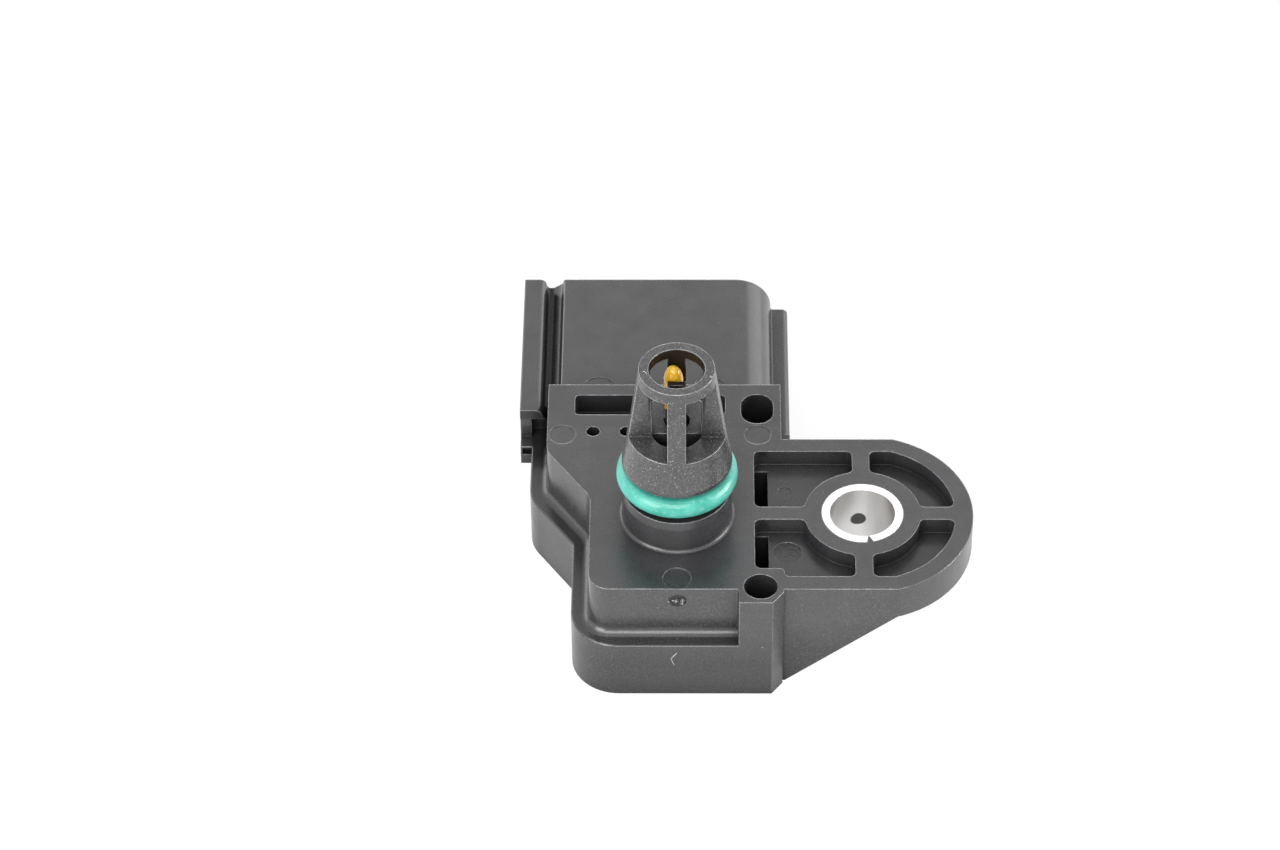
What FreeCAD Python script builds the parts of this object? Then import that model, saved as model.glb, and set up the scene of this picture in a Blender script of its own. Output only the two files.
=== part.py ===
import FreeCAD, Part
import math
import os

# Manifold absolute pressure sensor with a built-in air temperature probe.
# Millimetres, +Z up along the nozzle. The origin is where the nozzle axis meets the mounting face,
# +X points to the screw lug and +Y to the mouth of the connector.

# Body, seen from above
body_left_x = -14.35
body_waist_x = -9.45
body_right_x = 11.4
body_back_y = 20.1
body_bottom_z = -14.2
waist_upper_y = 9.6
waist_lower_y = 2.5
waist_radius = 3.0
front_corner_radius = 2.3

# Skirt, the wider lower half of the body
skirt_width = 2.0
skirt_top_z = -6.75
skirt_cove_radius = 0.9
skirt_edge_radius = 0.2
skirt_corner_radius = 5.2

# Corner block with its tooling hole
block_chamfer_x = 1.2
block_chamfer_y = 1.6
block_left_wall = 0.52
block_right_wall = 0.68
block_front_wall = 0.6
block_side_radius = 0.35
block_hole_diameter = 3.6
block_hole_depth = 9.0

# Screw lug
lug_pitch = 20.0
lug_side_flat = 0.55
lug_thickness = 4.25
gusset_wall = 1.9
gusset_foot_length = 0.25
boss_wall = 1.905
boss_length = 8.8
lug_rib_width = 1.9

# Weight-saving pockets in the top of the lug
pocket_depth = 2.0
pocket_rim_wall = 1.9
pocket_ring_width = 3.75
pocket_left_x = 8.35
pocket_corner_radius = 0.7
pocket_step_length = 3.15
pocket_step_depth = 1.2
pocket_step_radius = 0.55
deep_slot_width = 1.5
deep_slot_depth = 9.0
deep_slot_margin = 0.5

# Steel sleeve in the lug
bush_bore_diameter = 7.05
bush_wall = 0.87
bush_seam_gap = 0.06
bush_seam_angle = 9.5
bush_notch_width = 0.8
bush_notch_reach = 0.08
bush_hole_diameter = 1.7
bush_hole_x = -0.26

# Tooling recesses in the mounting face
window_left_x = -11.35
window_right_x = 5.25
window_back_wall = 1.7
window_width_y = 3.1
window_depth = 2.6
window_corner_radius = 0.5
square_hole_left_x = 7.0
square_hole_size_x = 3.55
square_hole_size_y = 4.6
square_hole_back_wall = 1.6
square_hole_radius = 1.7
square_hole_depth = 9.0
pin_hole_diameter = 1.48
pin_hole_window_distance = 2.65
pin_hole_first_x = -9.3
ejector_mark_depth = 0.08
face_marks = ((-12.67, 12.15, 1.45), (8.8, 12.1, 1.45))
front_mark_radius = 1.5
front_mark_inset = 1.61
shroud_mark_radius = 1.85
shroud_mark_inset = 1.65
shroud_mark_xs = (-8.83, 3.5)
pocket_marks = ((11.9, -4.0, 1.5), (11.7, 5.2, 0.75))

# Nozzle
spigot_diameter = 11.85
spigot_top_z = 4.2
spigot_taper_height = 1.0
spigot_taper = 0.15
spigot_base_radius = 0.3
groove_width = 3.9
groove_floor_diameter = 7.78
land_diameter = 11.8
land_height = 0.45
flare_height = 2.4
flare_diameter = 10.9
nozzle_top_z = 21.4
nozzle_top_diameter = 8.07
nozzle_bore_top_diameter = 5.98
ring_height = 1.25
shelf_z = 12.4
port_diameter = 5.5
probe_channel_diameter = 2.8
cage_rib_width = 1.95
post_width = 1.95
post_depth = 1.11
post_top_depth = 2.45
post_groove_width = 1.48
post_groove_depth = 0.47

# O-ring
o_ring_section = 2.62
o_ring_lift = 0.14
seat_clearance = 0.01

# Connector shroud
shroud_length = 19.8
shroud_left_inset = 1.25
shroud_right_inset = 0.8
shroud_top_z = -2.2
shroud_bottom_inset = 0.8
shroud_corner_radius = 4.1
shroud_lower_radius = 2.6
shroud_wall = 1.6
socket_back_wall = 1.5
mouth_chamfer = 0.4
rail_reach = 4.5
rail_width = 2.3
rail_groove_depth = 1.3
rail_groove_draft = 0.35
rail_groove_slope_width = 1.2
rail_groove_slope_step = 0.2
rail_groove_floor_radius = 0.45
rail_groove_slope_radius = 0.35
rail_corner_distance = 0.6
rail_overhang = 1.9
rail_undercut = 0.6
foot_length = 1.1
foot_height = 2.55
foot_slot_height = 1.0
foot_slot_depth = 0.8
foot_slot_wall = 0.2
side_rib_width = 1.95
side_rib_upper_distance = 0.55
side_rib_lower_distance = 0.3
side_rib_radius = 0.7
small_edge_radius = 0.25
rail_edge_radius = 0.2
rail_shoulder_radius = 0.75
socket_corner_radius = 1.0
latch_width = 6.0
latch_length = 3.0
latch_ramp_length = 2.1
latch_height = 0.7
latch_mouth_distance = 6.0

# Back cover and its recess
cover_wall = 1.5
cover_thickness = 1.5
cover_sink = 0.1
cover_clearance = 0.1
sealant_thickness = 0.2

# Cavity behind the cover and the pressure chamber above the board
cavity_wall = 1.5
cavity_pin_hole_distance = 2.15
cavity_roof_z = -7.5
chamber_width = 10.0
chamber_port_distance = 0.45
chamber_roof_z = -4.5
board_overlap = 0.8
board_front_gap = 0.2
board_side_gap = 0.5
board_thickness = 0.7
board_adhesive_thickness = 0.1

# Terminals
terminal_count = 4
terminal_pitch = 5.0
terminal_inner_pitch = 3.67
blade_width = 2.8
blade_thickness = 0.8
blade_length = 10.4
blade_tip_chamfer = 0.6
strip_width = 1.6
strip_straight_length = 1.5
strip_spread_depth = 1.0
strip_gather_y = 5.0
strip_board_gaps = (1.6, 1.6, 0.7, 0.7)
strip_side_gaps = (0.4, 0.3, 0.55)
strip_right_edge_x = 0.05
blade_root_depth = 1.0

# Pressure cell and circuit
pedestal_size = 2.6
pedestal_height = 1.2
die_size = 2.2
die_height = 0.4
gel_frame_inner_diameter = 6.0
gel_frame_wall = 0.6
gel_frame_clearance = 0.4
gel_frame_height = 2.0
gel_gap_to_rim = 0.2
signal_chip_size = 3.4
signal_chip_x = 1.5
signal_chip_height = 0.8
capacitor_count = 3
capacitor_x = -3.2
capacitor_pitch = 2.2
capacitor_length = 1.6
capacitor_width = 0.8
capacitor_height = 0.8
bond_wire_diameter = 0.3
bond_wire_reach = 1.4
bond_wire_shift_x = -0.3
bond_wire_count = 3

# Temperature probe
bead_x = -0.36
bead_width = 2.04
bead_length = 3.7
bead_top_depth = 1.3
bead_wall_gap = 0.166
bead_post_gap = 0.04
lead_spacing = 1.7
lead_foot_spacing = 1.5
lead_diameter = 0.24
lead_coat_diameter = 0.38
lead_coat_end_height = 1.7
lead_depth_in_bead = 2.1
lead_channel_shift = 0.12
lead_seal_length = 3.5

# Worked out from the sizes above: probe and port
bead_top_z = nozzle_top_z - bead_top_depth
bead_middle_z = bead_top_z - bead_length / 2
bore_share = (bead_middle_z - shelf_z) / (nozzle_top_z - shelf_z)
bore_growth = (nozzle_bore_top_diameter - port_diameter) / 2
bead_y = port_diameter / 2 + bore_growth * bore_share - bead_wall_gap - bead_width / 2
post_top_z = nozzle_top_z - post_top_depth
port_flat_y = bead_y - bead_width / 2 - bead_post_gap - post_depth
probe_channel_y = bead_y - lead_channel_shift
lead_top_z = bead_top_z - bead_length + lead_depth_in_bead
lead_coat_end_z = shelf_z + lead_coat_end_height

# Pressure cell, chamber and board
gel_frame_outer_diameter = gel_frame_inner_diameter + 2 * gel_frame_wall
chamber_length = gel_frame_outer_diameter + 2 * gel_frame_clearance
chamber_back_y = port_flat_y - chamber_port_distance
chamber_middle_y = chamber_back_y - chamber_length / 2
board_front_y = chamber_back_y - chamber_length - board_overlap
board_back_y = chamber_back_y + board_overlap
board_top_z = cavity_roof_z - board_adhesive_thickness
circuit_face_z = board_top_z - board_thickness
cavity_right_x = chamber_width / 2 + board_overlap + board_side_gap

# Body and corner block
body_front_y = board_front_y - board_front_gap - cavity_wall
block_front_y = body_front_y - skirt_width
block_hole_x = body_right_x - block_right_wall - block_hole_diameter / 2
block_hole_y = block_front_y + block_front_wall + block_hole_diameter / 2
block_left_x = block_hole_x - block_hole_diameter / 2 - block_left_wall
waist_turn = math.atan((body_waist_x - body_left_x) / (waist_upper_y - waist_lower_y))
skirt_corner_shift = skirt_width * math.tan(waist_turn / 2)
cavity_floor_z = body_bottom_z + cover_sink + cover_thickness + sealant_thickness

# Lug and sleeve
bush_outer_radius = bush_bore_diameter / 2 + bush_wall
boss_radius = bush_outer_radius + boss_wall
lug_end_radius = boss_radius + pocket_ring_width + pocket_rim_wall
lug_half_width = lug_end_radius - lug_side_flat
pocket_step_x = pocket_left_x + pocket_step_length

# Recesses of the mounting face
window_front_y = body_back_y - window_back_wall - window_width_y
square_hole_front_y = body_back_y - square_hole_back_wall - square_hole_size_y
pin_hole_y = window_front_y - pin_hole_window_distance
cavity_back_y = pin_hole_y - cavity_pin_hole_distance

# Nozzle
groove_top_z = spigot_top_z + groove_width
spigot_radius = spigot_diameter / 2

# Connector shroud
socket_back_y = body_back_y + socket_back_wall
shroud_mouth_y = body_back_y + shroud_length
shroud_left_x = body_left_x + shroud_left_inset
shroud_right_x = body_right_x - shroud_right_inset
shroud_bottom_z = body_bottom_z + shroud_bottom_inset
shroud_middle_x = (shroud_left_x + shroud_right_x) / 2
rail_left_x = shroud_left_x - rail_reach
rail_front_y = body_back_y - rail_overhang
rail_bottom_z = shroud_bottom_z + shroud_lower_radius + rail_corner_distance
foot_front_y = rail_front_y - foot_length
foot_bottom_z = skirt_top_z - foot_height
side_rib_right_x = shroud_right_x + side_rib_width
side_rib_top_z = shroud_top_z - shroud_corner_radius - side_rib_upper_distance
side_rib_bottom_z = shroud_bottom_z + shroud_lower_radius + side_rib_lower_distance
terminal_top_z = cavity_roof_z

# How far a piece reaches into its neighbour before the two are joined
overlap = 1.0

# Longer than the whole part, for blocks that only limit another shape
reach = 200.0

# Distance under which two places are the same
tolerance = 1e-3


def point(x, y, z=0.0):
    return FreeCAD.Vector(x, y, z)


def corner_arc(before, corner, after, radius):
    """Tangent points and middle point of the arc that rounds one corner."""
    towards_before = (before - corner).normalize()
    towards_after = (after - corner).normalize()
    half_angle = towards_before.getAngle(towards_after) / 2
    tangent = radius / math.tan(half_angle)
    bisector = (towards_before + towards_after).normalize()
    centre = corner + bisector * (radius / math.sin(half_angle))
    start = corner + towards_before * tangent
    end = corner + towards_after * tangent
    middle = centre - bisector * radius
    return start, middle, end


def rounded_wire(corners):
    """Closed wire through (point, radius) corners, each rounded by its radius."""
    count = len(corners)
    pieces = []
    for index in range(count):
        corner, radius = corners[index]
        if radius > 0:
            before = corners[index - 1][0]
            after = corners[(index + 1) % count][0]
            pieces.append(corner_arc(before, corner, after, radius))
        else:
            pieces.append((corner, None, corner))
    edges = []
    for index in range(count):
        start, middle, end = pieces[index]
        following = pieces[(index + 1) % count][0]
        if middle is not None:
            edges.append(Part.Arc(start, middle, end).toShape())
        if end.distanceToPoint(following) > tolerance:
            edges.append(Part.makeLine(end, following))
    return Part.Wire(edges)


def plan_face(corners, z):
    """Flat face from (x, y, radius) corners at height z."""
    return Part.Face(rounded_wire([(point(x, y, z), radius) for x, y, radius in corners]))


def plan_prism(corners, low_z, high_z):
    return plan_face(corners, low_z).extrude(point(0, 0, high_z - low_z))


def section_prism(corners, front_y, back_y):
    """Solid along Y from (x, z, radius) corners."""
    wire = rounded_wire([(point(x, front_y, z), radius) for x, z, radius in corners])
    return Part.Face(wire).extrude(point(0, back_y - front_y, 0))


def side_prism(corners, left_x, right_x):
    """Solid along X from (y, z, radius) corners."""
    wire = rounded_wire([(point(left_x, y, z), radius) for y, z, radius in corners])
    return Part.Face(wire).extrude(point(right_x - left_x, 0, 0))


def block(x_low, x_high, y_low, y_high, z_low, z_high):
    return Part.makeBox(x_high - x_low, y_high - y_low, z_high - z_low, point(x_low, y_low, z_low))


def upright_cylinder(x, y, low_z, high_z, radius):
    return Part.makeCylinder(radius, high_z - low_z, point(x, y, low_z))


def revolved(profile):
    """Solid of revolution about the Z axis from (radius, z) corners."""
    wire = Part.makePolygon([point(r, 0, z) for r, z in profile + profile[:1]])
    return Part.Face(wire).revolve(point(0, 0, 0), point(0, 0, 1), 360)


def inset_face(corners, inset, z):
    wire = rounded_wire([(point(x, y, z), radius) for x, y, radius in corners])
    return Part.Face(wire.makeOffset2D(-inset))


def upper_outline():
    """Mounting face, clockwise from the back left corner."""
    return [
        (body_left_x, body_back_y, 0),
        (body_right_x, body_back_y, 0),
        (body_right_x, block_front_y + block_chamfer_y, 0),
        (body_right_x - block_chamfer_x, block_front_y, 0),
        (block_left_x, block_front_y, 0),
        (block_left_x, body_front_y, 0),
        (body_waist_x, body_front_y, front_corner_radius),
        (body_waist_x, waist_lower_y, waist_radius),
        (body_left_x, waist_upper_y, waist_radius),
    ]


def skirt_outline():
    """Outline of the skirt, which stands out to the left and the front."""
    return [
        (body_left_x - skirt_width, body_back_y, 0),
        (body_right_x, body_back_y, 0),
        (body_right_x, block_front_y + block_chamfer_y, 0),
        (body_right_x - block_chamfer_x, block_front_y, 0),
        (body_waist_x - skirt_width, block_front_y, skirt_corner_radius),
        (body_waist_x - skirt_width, waist_lower_y - skirt_corner_shift, waist_radius - skirt_width),
        (body_left_x - skirt_width, waist_upper_y - skirt_corner_shift, waist_radius + skirt_width),
    ]


def middle_of(edge):
    return edge.valueAt((edge.FirstParameter + edge.LastParameter) / 2)


def body_block():
    """Upper body on its wider skirt, with the cove between them and a rounded rim."""
    upper = plan_prism(upper_outline(), body_bottom_z, 0)
    skirt = plan_prism(skirt_outline(), body_bottom_z, skirt_top_z)
    body = upper.fuse(skirt).removeSplitter()
    upper_face = plan_face(upper_outline(), skirt_top_z)
    cove_edges = []
    rim_edges = []
    for edge in body.Edges:
        box = edge.BoundBox
        if abs(box.ZMin - skirt_top_z) > tolerance or abs(box.ZMax - skirt_top_z) > tolerance:
            continue
        middle = middle_of(edge)
        distance = Part.Vertex(middle).distToShape(upper_face)[0]
        if distance < tolerance and middle.x < block_left_x - tolerance:
            cove_edges.append(edge)
        elif distance > skirt_width - tolerance:
            rim_edges.append(edge)
    body = body.makeFillet(skirt_cove_radius, cove_edges)
    rims = []
    for edge in body.Edges:
        for rim in rim_edges:
            if middle_of(edge).distanceToPoint(middle_of(rim)) < tolerance:
                rims.append(edge)
    return body.makeFillet(skirt_edge_radius, rims)


def block_side_filler():
    """Concave rounding where the corner block's side meets the front wall."""
    wall_x = block_left_x - block_side_radius
    side_y = body_front_y - block_side_radius
    inside = point(wall_x, side_y) + point(1, 1).normalize() * block_side_radius
    arc = Part.Arc(point(wall_x, body_front_y), inside, point(block_left_x, side_y)).toShape()
    deep_x = block_left_x + block_side_radius
    deep_y = body_front_y + block_side_radius
    corners = [point(block_left_x, side_y), point(deep_x, side_y), point(deep_x, deep_y),
               point(wall_x, deep_y), point(wall_x, body_front_y)]
    outline = Part.Wire([arc] + Part.makePolygon(corners).Edges)
    face = Part.Face(outline)
    face.translate(point(0, 0, skirt_top_z))
    return face.extrude(point(0, 0, -skirt_top_z))


def lug_outline():
    """Lug seen from above: two straight edges and the round end about the screw axis."""
    end_x = lug_pitch + math.sqrt(lug_end_radius ** 2 - lug_half_width ** 2)
    inner_x = body_right_x - overlap
    back = Part.makeLine(point(end_x, lug_half_width), point(inner_x, lug_half_width))
    left = Part.makeLine(point(inner_x, lug_half_width), point(inner_x, -lug_half_width))
    front = Part.makeLine(point(inner_x, -lug_half_width), point(end_x, -lug_half_width))
    tip = point(lug_pitch + lug_end_radius, 0)
    end = Part.Arc(point(end_x, -lug_half_width), tip, point(end_x, lug_half_width)).toShape()
    return Part.Face(Part.Wire([back, left, front, end]))


def lug_prism(low_z, high_z):
    face = lug_outline()
    face.translate(point(0, 0, low_z))
    return face.extrude(point(0, 0, high_z - low_z))


def lug_side_profile(y_low, y_high):
    """Wall that falls from the body's full height to the lug's flange."""
    flange_z = -lug_thickness
    inner_x = body_right_x - overlap
    end_x = lug_pitch + math.sqrt(lug_end_radius ** 2 - lug_half_width ** 2)
    corners = [
        (inner_x, flange_z + overlap, 0),
        (end_x, flange_z + overlap, 0),
        (end_x, flange_z, 0),
        (body_right_x + gusset_foot_length, body_bottom_z, 0),
        (inner_x, body_bottom_z, 0),
    ]
    return section_prism(corners, y_low, y_high)


def screw_lug():
    """Flange with side gussets, the sleeve's boss and the rib that ties the boss to the body."""
    flange = lug_prism(-lug_thickness, 0)
    front_gusset = lug_side_profile(-lug_half_width, -lug_half_width + gusset_wall)
    back_gusset = lug_side_profile(lug_half_width - gusset_wall, lug_half_width)
    gussets = front_gusset.fuse(back_gusset).common(lug_prism(body_bottom_z, 0))
    boss = upright_cylinder(lug_pitch, 0, -boss_length, 0, boss_radius)
    rib_half = lug_rib_width / 2
    rib_corners = [
        (body_right_x - overlap, -lug_thickness + overlap, 0),
        (lug_pitch, -lug_thickness + overlap, 0),
        (lug_pitch, -boss_length, 0),
        (lug_pitch - boss_radius, -boss_length, 0),
        (body_right_x, body_bottom_z + cover_thickness, 0),
        (body_right_x - overlap, body_bottom_z + cover_thickness, 0),
    ]
    rib = section_prism(rib_corners, -rib_half, rib_half)
    return flange.fuse([gussets, boss, rib])


def pocket_corner_edges(pocket):
    """Upright edges of a pocket that are sharp in plan."""
    edges = []
    for edge in pocket.Edges:
        box = edge.BoundBox
        if box.ZLength > pocket_depth - tolerance and max(box.XLength, box.YLength) < tolerance:
            edges.append(edge)
    return edges


def stands_at_step(edge):
    return abs(edge.BoundBox.XMin - pocket_step_x) < tolerance


def rounded_pocket(pocket):
    """Pocket with its upright corners rounded, those at its step by their own smaller radius."""
    corners = [edge for edge in pocket_corner_edges(pocket) if not stands_at_step(edge)]
    rounded = pocket.makeFillet(pocket_corner_radius, corners)
    step_corners = [edge for edge in pocket_corner_edges(rounded) if stands_at_step(edge)]
    if step_corners:
        rounded = rounded.makeFillet(pocket_step_radius, step_corners)
    return rounded


def lug_pockets():
    """Four shallow pockets round the boss, leaving a cross of ribs and the rim."""
    rib_half = lug_rib_width / 2
    outer_y = lug_half_width - pocket_rim_wall
    outer_x = lug_pitch + lug_end_radius
    low_z = -pocket_depth
    boss = upright_cylinder(lug_pitch, 0, low_z, 0, boss_radius)
    rim = upright_cylinder(lug_pitch, 0, low_z, 0, lug_end_radius - pocket_rim_wall)
    pockets = []
    for side in (-1, 1):
        near_y = min(side * rib_half, side * outer_y)
        far_y = max(side * rib_half, side * outer_y)
        inner = block(pocket_left_x, lug_pitch - rib_half, near_y, far_y, low_z, 0).cut(boss)
        if side < 0:
            step_y = near_y + pocket_step_depth
            step = block(pocket_left_x - overlap, pocket_step_x, near_y - overlap, step_y, low_z, 0)
            inner = inner.cut(step)
        outer = block(lug_pitch + rib_half, outer_x, near_y, far_y, low_z, 0).cut(boss).common(rim)
        pockets.append(rounded_pocket(inner))
        pockets.append(rounded_pocket(outer))
        slot_low_y = near_y + (pocket_step_depth if side < 0 else 0)
        slot_high_y = far_y - (deep_slot_margin if side > 0 else 0)
        slot_right_x = pocket_left_x + deep_slot_width
        pockets.append(block(pocket_left_x, slot_right_x, slot_low_y + pocket_corner_radius,
                             slot_high_y - pocket_corner_radius, -deep_slot_depth, low_z))
    return pockets


def tooling_recesses():
    """Window, square hole, pin holes and block hole that the mould leaves in the mounting face."""
    window = plan_prism([
        (window_left_x, window_front_y, window_corner_radius),
        (window_right_x, window_front_y, window_corner_radius),
        (window_right_x, window_front_y + window_width_y, window_corner_radius),
        (window_left_x, window_front_y + window_width_y, window_corner_radius),
    ], -window_depth, 0)
    square_right_x = square_hole_left_x + square_hole_size_x
    square_back_y = square_hole_front_y + square_hole_size_y
    square = plan_prism([
        (square_hole_left_x, square_hole_front_y, square_hole_radius),
        (square_right_x, square_hole_front_y, square_hole_radius),
        (square_right_x, square_back_y, square_hole_radius),
        (square_hole_left_x, square_back_y, square_hole_radius),
    ], -square_hole_depth, 0)
    recesses = [window, square]
    for index in range(terminal_count):
        x = pin_hole_first_x + index * terminal_inner_pitch
        recesses.append(upright_cylinder(x, pin_hole_y, terminal_top_z, 0, pin_hole_diameter / 2))
    recesses.append(upright_cylinder(block_hole_x, block_hole_y, -block_hole_depth, 0,
                                     block_hole_diameter / 2))
    return recesses


def ejector_marks():
    """Faint round dents that the mould's ejector pins leave in the faces and the pockets' floors."""
    front_mark = (0, body_front_y + front_mark_inset, front_mark_radius)
    marks = []
    for face_z, places in ((0, face_marks + (front_mark,)), (-pocket_depth, pocket_marks)):
        for x, y, radius in places:
            marks.append(upright_cylinder(x, y, face_z - ejector_mark_depth, face_z, radius))
    behind_body = block(-reach, reach, body_back_y, reach, -reach, 0)
    low_z = shroud_top_z - ejector_mark_depth
    for x in shroud_mark_xs:
        mark = upright_cylinder(x, body_back_y + shroud_mark_inset, low_z, shroud_top_z, shroud_mark_radius)
        marks.append(mark.common(behind_body))
    return marks


def nozzle_body():
    """Turned form of the nozzle: spigot land, O-ring groove and the long cone."""
    land_radius = land_diameter / 2
    return revolved([
        (0, -overlap),
        (spigot_radius + spigot_base_radius, -overlap),
        (spigot_radius + spigot_base_radius, 0),
        (spigot_radius + spigot_base_radius / 3, spigot_base_radius / 3),
        (spigot_radius, spigot_base_radius),
        (spigot_radius, spigot_top_z - spigot_taper_height),
        (spigot_radius - spigot_taper, spigot_top_z),
        (groove_floor_diameter / 2, spigot_top_z),
        (groove_floor_diameter / 2, groove_top_z),
        (land_radius, groove_top_z),
        (land_radius, groove_top_z + land_height),
        (flare_diameter / 2, groove_top_z + land_height + flare_height),
        (nozzle_top_diameter / 2, nozzle_top_z),
        (0, nozzle_top_z),
    ])


def cage_windows():
    """Space between the four ribs, from the shelf to the ring."""
    high_z = nozzle_top_z - ring_height
    half = cage_rib_width / 2
    outside = spigot_diameter
    windows = []
    for side_x in (-1, 1):
        for side_y in (-1, 1):
            x_low, x_high = sorted((side_x * half, side_x * outside))
            y_low, y_high = sorted((side_y * half, side_y * outside))
            windows.append(block(x_low, x_high, y_low, y_high, shelf_z, high_z))
    return windows


def cage_bore():
    """Tapered bore of the cage above the shelf, without the post that guards the bead."""
    height = nozzle_top_z - shelf_z
    bore = Part.makeCone(port_diameter / 2, nozzle_bore_top_diameter / 2, height, point(0, 0, shelf_z))
    half = post_width / 2
    post = block(-half, half, port_flat_y, port_flat_y + post_depth, shelf_z, post_top_z)
    half_groove = post_groove_width / 2
    groove = block(-half_groove, half_groove, port_flat_y - overlap, port_flat_y + post_groove_depth,
                   shelf_z, post_top_z)
    return bore.cut(post.cut(groove))


def port_channel():
    """D-shaped pressure channel from the shelf to the chamber."""
    channel = upright_cylinder(0, 0, chamber_roof_z, shelf_z, port_diameter / 2)
    keep = block(-reach, reach, -reach, port_flat_y, chamber_roof_z, shelf_z)
    return channel.common(keep)


def probe_channel():
    """Round channel for the two thermistor leads, from the shelf to the terminals."""
    return upright_cylinder(0, probe_channel_y, terminal_top_z, shelf_z, probe_channel_diameter / 2)


def shroud_profile():
    """Section of the connector shroud with its left rail and right rib, clockwise seen from the front."""
    groove_z = shroud_top_z - rail_groove_depth
    rail_right_x = rail_left_x + rail_width
    slope_left_x = shroud_left_x - rail_groove_slope_width
    return [
        (rail_left_x, shroud_top_z, rail_edge_radius),
        (rail_right_x, shroud_top_z, rail_shoulder_radius),
        (rail_right_x + rail_groove_draft, groove_z, rail_groove_floor_radius),
        (slope_left_x, groove_z, rail_groove_floor_radius),
        (shroud_left_x - rail_groove_slope_step, groove_z + rail_groove_depth / 2, rail_groove_slope_radius),
        (shroud_left_x, shroud_top_z, rail_groove_slope_radius),
        (shroud_right_x, shroud_top_z, shroud_corner_radius),
        (shroud_right_x, side_rib_top_z, small_edge_radius),
        (side_rib_right_x, side_rib_top_z, side_rib_radius),
        (side_rib_right_x, side_rib_bottom_z, small_edge_radius),
        (shroud_right_x, side_rib_bottom_z, small_edge_radius),
        (shroud_right_x, shroud_bottom_z, shroud_lower_radius),
        (shroud_left_x, shroud_bottom_z, shroud_lower_radius),
        (shroud_left_x, rail_bottom_z, small_edge_radius),
        (rail_left_x, rail_bottom_z, small_edge_radius),
    ]


def socket_profile(inset):
    """Inner section of the socket, one wall inside the shroud."""
    left_x = shroud_left_x + inset
    right_x = shroud_right_x - inset
    top_z = shroud_top_z - inset
    bottom_z = shroud_bottom_z + inset
    return [
        (left_x, top_z, socket_corner_radius),
        (right_x, top_z, shroud_corner_radius - inset),
        (right_x, bottom_z, shroud_lower_radius - inset),
        (left_x, bottom_z, shroud_lower_radius - inset),
    ]


def mouth_lead_in():
    """Flare that breaks the inner edge of the socket's mouth."""
    narrow = rounded_wire([(point(x, shroud_mouth_y - mouth_chamfer, z), radius)
                           for x, z, radius in socket_profile(shroud_wall)])
    wide = rounded_wire([(point(x, shroud_mouth_y, z), radius)
                         for x, z, radius in socket_profile(shroud_wall - mouth_chamfer)])
    return Part.makeLoft([narrow, wide], True, True)


def connector_shroud():
    """Shroud with its rail, rib, foot and latch nose."""
    shroud = section_prism(shroud_profile(), rail_front_y, shroud_mouth_y)
    skirt_left_x = body_left_x - skirt_width
    lip_bottom_z = shroud_top_z - rail_groove_depth
    undercut = block(rail_left_x - overlap, body_left_x, rail_front_y - overlap,
                     rail_front_y + rail_undercut, skirt_top_z, lip_bottom_z)
    gap_to_body = block(skirt_left_x, body_left_x, rail_front_y - overlap, body_back_y,
                        skirt_top_z, lip_bottom_z)
    shroud = shroud.cut([undercut, gap_to_body])
    foot = block(rail_left_x, skirt_left_x + overlap, foot_front_y, rail_front_y + overlap,
                 foot_bottom_z, skirt_top_z)
    slot_top_z = skirt_top_z - foot_slot_wall
    foot_slot = block(rail_left_x + foot_slot_wall, skirt_left_x + overlap, foot_front_y - overlap,
                      foot_front_y + foot_slot_depth, slot_top_z - foot_slot_height, slot_top_z)
    side_rib = block(body_right_x - overlap, side_rib_right_x, lug_half_width - gusset_wall,
                     rail_front_y + overlap, side_rib_bottom_z, side_rib_top_z)
    latch_back_y = shroud_mouth_y - latch_mouth_distance
    latch_root_z = shroud_bottom_z + overlap
    latch = side_prism([
        (latch_back_y - latch_length, latch_root_z, 0),
        (latch_back_y, latch_root_z, 0),
        (latch_back_y, shroud_bottom_z, 0),
        (latch_back_y - latch_ramp_length, shroud_bottom_z - latch_height, 0),
        (latch_back_y - latch_length, shroud_bottom_z - latch_height, 0),
    ], shroud_middle_x - latch_width / 2, shroud_middle_x + latch_width / 2)
    return shroud.fuse([foot.cut(foot_slot), side_rib, latch])


def socket():
    return section_prism(socket_profile(shroud_wall), socket_back_y, shroud_mouth_y)


def cavity():
    """Shallow cavity for the terminals and the board, open to the back, with the deep chamber."""
    inner = inset_face(upper_outline(), cavity_wall, cavity_floor_z)
    inner = inner.extrude(point(0, 0, cavity_roof_z - cavity_floor_z))
    limit = block(-reach, cavity_right_x, -reach, cavity_back_y, cavity_floor_z, cavity_roof_z)
    half = chamber_width / 2
    chamber = block(-half, half, chamber_back_y - chamber_length, chamber_back_y,
                    cavity_roof_z, chamber_roof_z)
    return [inner.common(limit), chamber]


def cover_face(inset, z):
    return inset_face(skirt_outline(), inset, z)


def cover_recess():
    face = cover_face(cover_wall, body_bottom_z)
    return face.extrude(point(0, 0, cavity_floor_z - body_bottom_z))


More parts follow.
